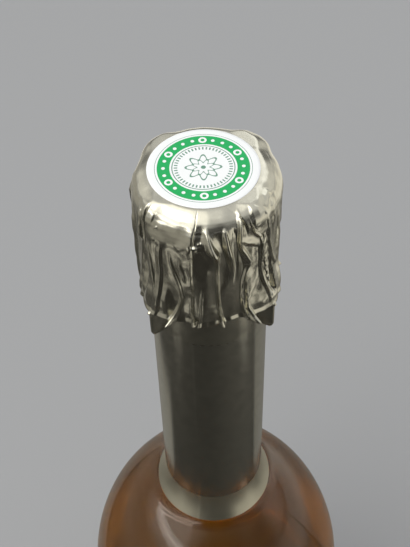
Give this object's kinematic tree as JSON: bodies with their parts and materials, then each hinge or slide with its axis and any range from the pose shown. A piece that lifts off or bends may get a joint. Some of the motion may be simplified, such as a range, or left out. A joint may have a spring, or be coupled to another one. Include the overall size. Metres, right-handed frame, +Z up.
{
  "type": "champagne bottle",
  "caption": "Full 75 cl sparkling wine bottle in clear glass with foil hood, wire cage, metal cap, cork, neck foil with tear strip, and blank labels; hood, cage and cork lift off upwards.",
  "frame": {"origin": "centre of the bottle's standing plane, under its axis", "axes": "+Z up along the bottle's axis; the front, with the pull loop, faces -Y; +X to the right of the front"},
  "size_m": [0.0884, 0.0886, 0.3285],
  "materials": {
    "glass": "clear glossy",
    "wine": "clear amber liquid",
    "cork_agglomerate": "granular cork",
    "cork_natural": "natural cork",
    "cap_enamel": "satin enamel",
    "cage_wire": "galvanised wire",
    "foil": "satin champagne-silver foil",
    "seal_paper": "printed paper, white and green",
    "label_paper": "uncoated cream paper"
  },
  "bodies": {
    "bottle": {"bottle_glass": "glass", "wine": "wine", "front_label": "label_paper", "back_label": "label_paper", "neck_foil": "foil", "tear_strip": "foil"},
    "cork": {"cork_body": "cork_agglomerate", "cork_disc_upper": "cork_natural", "cork_disc_lower": "cork_natural"},
    "cage": {"cage_cap": "cap_enamel", "cage_top_ring": "cage_wire", "cage_leg_front_right": "cage_wire", "cage_leg_front_left": "cage_wire", "cage_leg_back_right": "cage_wire", "cage_leg_back_left": "cage_wire", "belt_wire": "cage_wire"},
    "pull_loop": {"pull_loop": "cage_wire"},
    "hood": {"foil_hood": "foil", "top_seal_disc": "seal_paper"},
    "tear_tab": {"tear_tab": "foil"}
  },
  "joints": [
    {"name": "cork_pull", "type": "slide", "parent": "bottle", "child": "cork", "axis": [0, 0, 1], "range_m": [0, 0.045]},
    {"name": "cage_lift", "type": "slide", "parent": "cork", "child": "cage", "axis": [0, 0, 1], "range_m": [0, 0.05], "deforming": ["cage_leg_front_right", "cage_leg_front_left", "cage_leg_back_right", "cage_leg_back_left", "belt_wire"]},
    {"name": "hood_lift", "type": "slide", "parent": "cage", "child": "hood", "axis": [0, 0, 1], "range_m": [0, 0.06], "deforming": ["foil_hood"]},
    {"name": "loop_fold", "type": "hinge", "parent": "cage", "child": "pull_loop", "pos_m": [-0.0016, -0.01662, 0.2966], "axis": [0.9954, -0.0958, 0], "range_deg": [0, 95]},
    {"name": "tab_peel", "type": "hinge", "parent": "bottle", "child": "tear_tab", "pos_m": [0, 0.01541, 0.2802], "axis": [0, 0, -1], "range_deg": [0, 100]}
  ],
  "couplings": [
    {"joint": "loop_fold", "follows": "hood_lift", "rad_per_m": 26.18}
  ]
}
